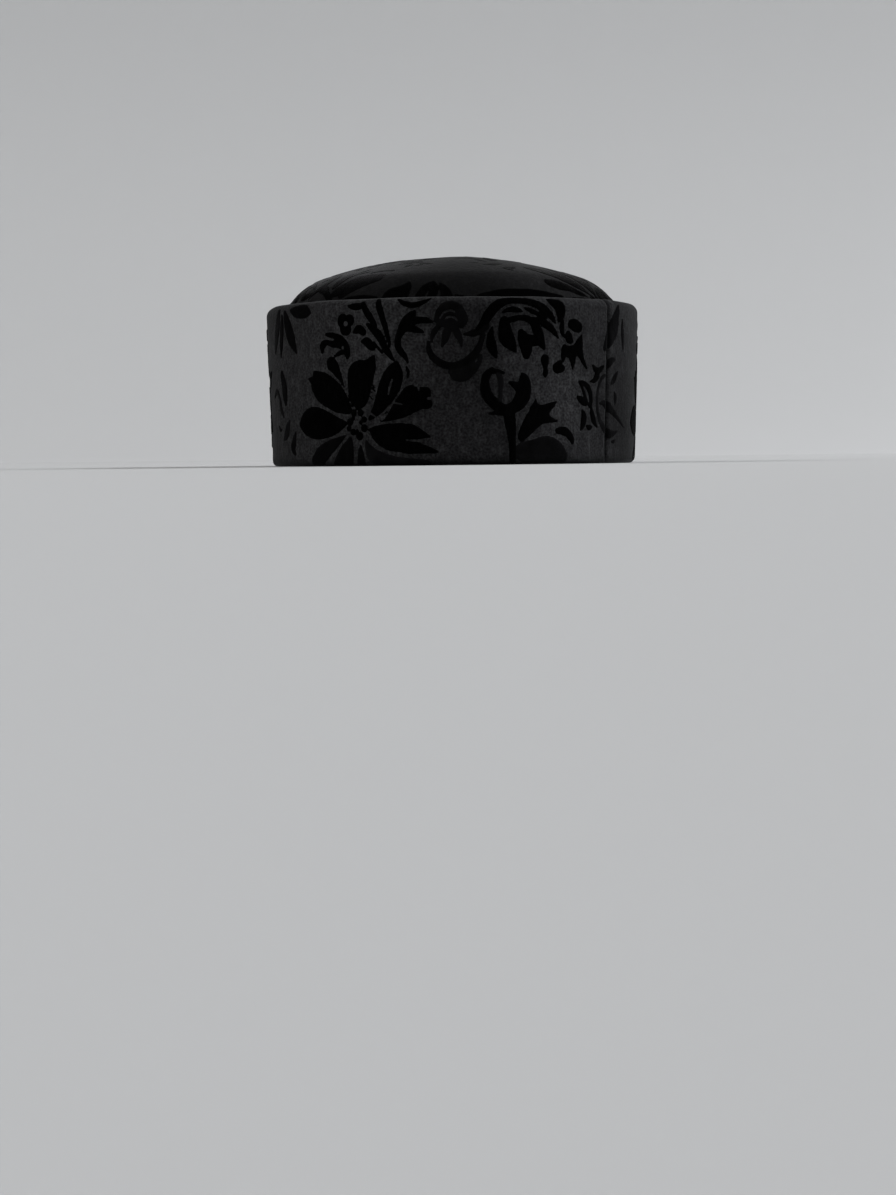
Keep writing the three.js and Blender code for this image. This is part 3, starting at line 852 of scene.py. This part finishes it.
# The crown is cut from the same cloth, so its rows lay the whole repeat again, half a repeat along in each
# next row.
crownLayout = {
    "cell": 0.6,
    "edge": 1.5,  # the velvet stops this far from the seam
    "stand": 0.35,  # share of the height that the velvet has on the band
    "rows": [(-86, -72), (118, -72), (16, 4), (-188, 4), (-86, 80), (118, 80)],
    "front": [("daisy", 16, -134)],  # what shows over the band's front edge: a daisy's tips, and leaves
    "leaves": [
        [(13, -99.5, 1), (22, -96, 3.2), (33, -91, 4.2), (44, -84, 3.2), (53, -76.5, 1)],
        [(-2.6, -105, 2.3), (-2.8, -98, 2.5), (-4.2, -93, 1.4), (-5.4, -90, 0.3)],
        [(-54, -77, 0.8), (-48, -82, 2.4), (-41, -87.5, 2.6), (-36, -90.5, 0.8)],
    ],
}


# The crown's velvet: the rows' pattern and the leaves at the front, cut off where the way out from the middle
# comes near the seam.
def makeCrownPile():
    half = np.array([1, crownStretch]) * seamWay / mm
    pLine = np.arange(-half[0], half[0], crownLayout["cell"])
    qLine = np.arange(-half[1], half[1], crownLayout["cell"])
    names = [name for name in motifs if not name.startswith("seam")]
    layout = [(name, *shift) for shift in crownLayout["rows"] for name in names]
    field, nap = clothPattern(pLine, qLine, crownLayout["front"] + layout)
    field = np.minimum(field, strokesField(pLine, qLine, crownLayout["leaves"], (0, 0)))
    way = np.hypot(pLine[:, None], qLine[None, :] / crownStretch)
    field = np.maximum(field, way - (seamWay / mm - crownLayout["edge"]))
    fade = np.full((1, len(qLine)), crownLayout["stand"])
    return makePile("crown_pile", pLine, qLine, field, nap, onCrown, fade, crownPileShadedVelvet)


bandGround = makeBandGround()
bandPile = makeBandPile()
crownGround = makeCrownGround()
crownPile = makeCrownPile()
for piece in (bandGround, *bandPile):
    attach(piece, "root")
for piece in (crownGround, crownPile):
    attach(piece, "root")
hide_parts("band")
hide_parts("crown")
print("pieces made and riding")

# The stage: a pale floor that curves up all round into a wall. Its paper is toned ring by ring, so that floor
# and wall meet without a line.
stageLook = {
    # radius and tone of the flat rings
    "floor": [(0.4, 0.314), (0.7, 0.317), (1.0, 0.323), (1.8, 0.345), (2.4, 0.385), (2.75, 0.412)],
    "cove": 2.6,  # radius of the curve
    # height and tone of the rings that curve up
    "coveTones": [(0, 0.412), (0.07, 0.4), (0.21, 0.392), (0.36, 0.387), (0.56, 0.375), (0.76, 0.36),
                  (0.9, 0.35), (3, 0.34)],
    "wall": 3.0,
    "steps": 24,
    "sectors": 96,
    "roughness": 0.9,
    "specular": 0.05,
    "world": (0.95, 0.975, 1.0),
    "worldStrength": 0.13,
}


# The stage's profile, flat rings, then a quarter circle, then upright, turned about the cap's middle.
def makeStage():
    floor, tones = np.array(stageLook["floor"]), np.array(stageLook["coveTones"])
    turn = np.linspace(0, np.pi / 2, stageLook["steps"])[1:]
    out = np.concatenate([floor[:, 0], floor[-1, 0] + stageLook["cove"] * np.sin(turn)])
    up = np.concatenate([floor[:, 0] * 0, stageLook["cove"] * (1 - np.cos(turn))])
    tone = np.concatenate([floor[:, 1], np.interp(up[len(floor):], *tones.T)])
    out, up = np.append(out, out[-1]), np.append(up, up[-1] + stageLook["wall"])
    tone = np.append(tone, tone[-1])
    angle = np.linspace(0, 2 * np.pi, stageLook["sectors"], endpoint=False)
    across = out[:, None]
    ring = np.broadcast_arrays(across * np.cos(angle), across * np.sin(angle), up[:, None])
    points = np.concatenate([np.stack(ring, -1).reshape(-1, 3), np.zeros((1, 3))])
    quads, _ = gridQuads(len(out), stageLook["sectors"], False, True)
    j = np.arange(stageLook["sectors"])
    fan = np.stack([np.full_like(j, len(points) - 1), j, np.roll(j, -1)], -1)
    corners = np.concatenate([quads.ravel(), fan.ravel()])
    sizes = np.concatenate([np.full(len(quads), 4), np.full(len(fan), 3)])
    paper = bpy.data.materials.new("stagePaper")
    paper.use_nodes = True
    shader = paper.node_tree.nodes["Principled BSDF"]
    shader.inputs["Roughness"].default_value = stageLook["roughness"]
    shader.inputs["Specular IOR Level"].default_value = stageLook["specular"]
    shade = paper.node_tree.nodes.new("ShaderNodeAttribute")
    shade.attribute_name = "tone"
    paper.node_tree.links.new(shade.outputs["Fac"], shader.inputs["Base Color"])
    tone = np.append(np.repeat(tone, stageLook["sectors"]), tone[0])
    return newPiece("stage", points, corners, sizes, np.zeros((len(corners), 2)), paper, ("tone", tone))


makeStage()
world = bpy.data.worlds.new("studio")
world.use_nodes = True
world.node_tree.nodes["Background"].inputs["Color"].default_value = (*stageLook["world"], 1)
world.node_tree.nodes["Background"].inputs["Strength"].default_value = stageLook["worldStrength"]
bpy.context.scene.world = world

# Soft boxes: where each stands, its width and height, its power and its colour. All face the cap's middle.
lampAim = Vector((0, 0, 0.05))
softBoxes = {
    "left": {"at": (-4.35, -1.2, 2.4), "size": (4.2, 3.6), "power": 300, "colour": (1, 1, 1)},
    "right": {"at": (4.5, 0.4, 2.4), "size": (4.2, 3.6), "power": 620, "colour": (0.95, 0.97, 1)},
    "top": {"at": (0, 1.8, 4.6), "size": (3.2, 2.4), "power": 50, "colour": (1, 1, 1)},
}
for name, box in softBoxes.items():
    lamp = bpy.data.lights.new("softBox_" + name, "AREA")
    lamp.shape = "RECTANGLE"
    lamp.size, lamp.size_y = box["size"]
    lamp.energy = box["power"]
    lamp.color = box["colour"]
    stand = bpy.data.objects.new("softBox_" + name, lamp)
    stand.location = box["at"]
    stand.rotation_euler = (lampAim - stand.location).to_track_quat("-Z", "Y").to_euler()
    stand.visible_camera = False
    bpy.context.scene.collection.objects.link(stand)

# The camera: straight in front and just above the floor, aimed below the cap so that it stands high in the
# frame. Metres, with the lens and its sensor in millimetres and the roll in degrees.
cameraPlan = {
    "distance": 1.5,
    "height": 0.005,
    "lens": 95.7,
    "sensor": 36,
    "aim": (-0.0033, 0, -0.0628),
    "roll": 0.62,
    "clip": (0.01, 50),
}
lens = bpy.data.cameras.new("camera")
lens.lens = cameraPlan["lens"]
lens.sensor_width = cameraPlan["sensor"]
lens.clip_start, lens.clip_end = cameraPlan["clip"]
camera = bpy.data.objects.new("camera", lens)
camera.location = (0, -cameraPlan["distance"], cameraPlan["height"])
looking = (Vector(cameraPlan["aim"]) - camera.location).to_track_quat("-Z", "Y").to_euler()
looking.rotate_axis("Z", np.radians(-cameraPlan["roll"]))
camera.rotation_euler = looking
bpy.context.scene.collection.objects.link(camera)
bpy.context.scene.camera = camera
bpy.context.scene.view_settings.view_transform = "Standard"
print("stage, light and camera set")
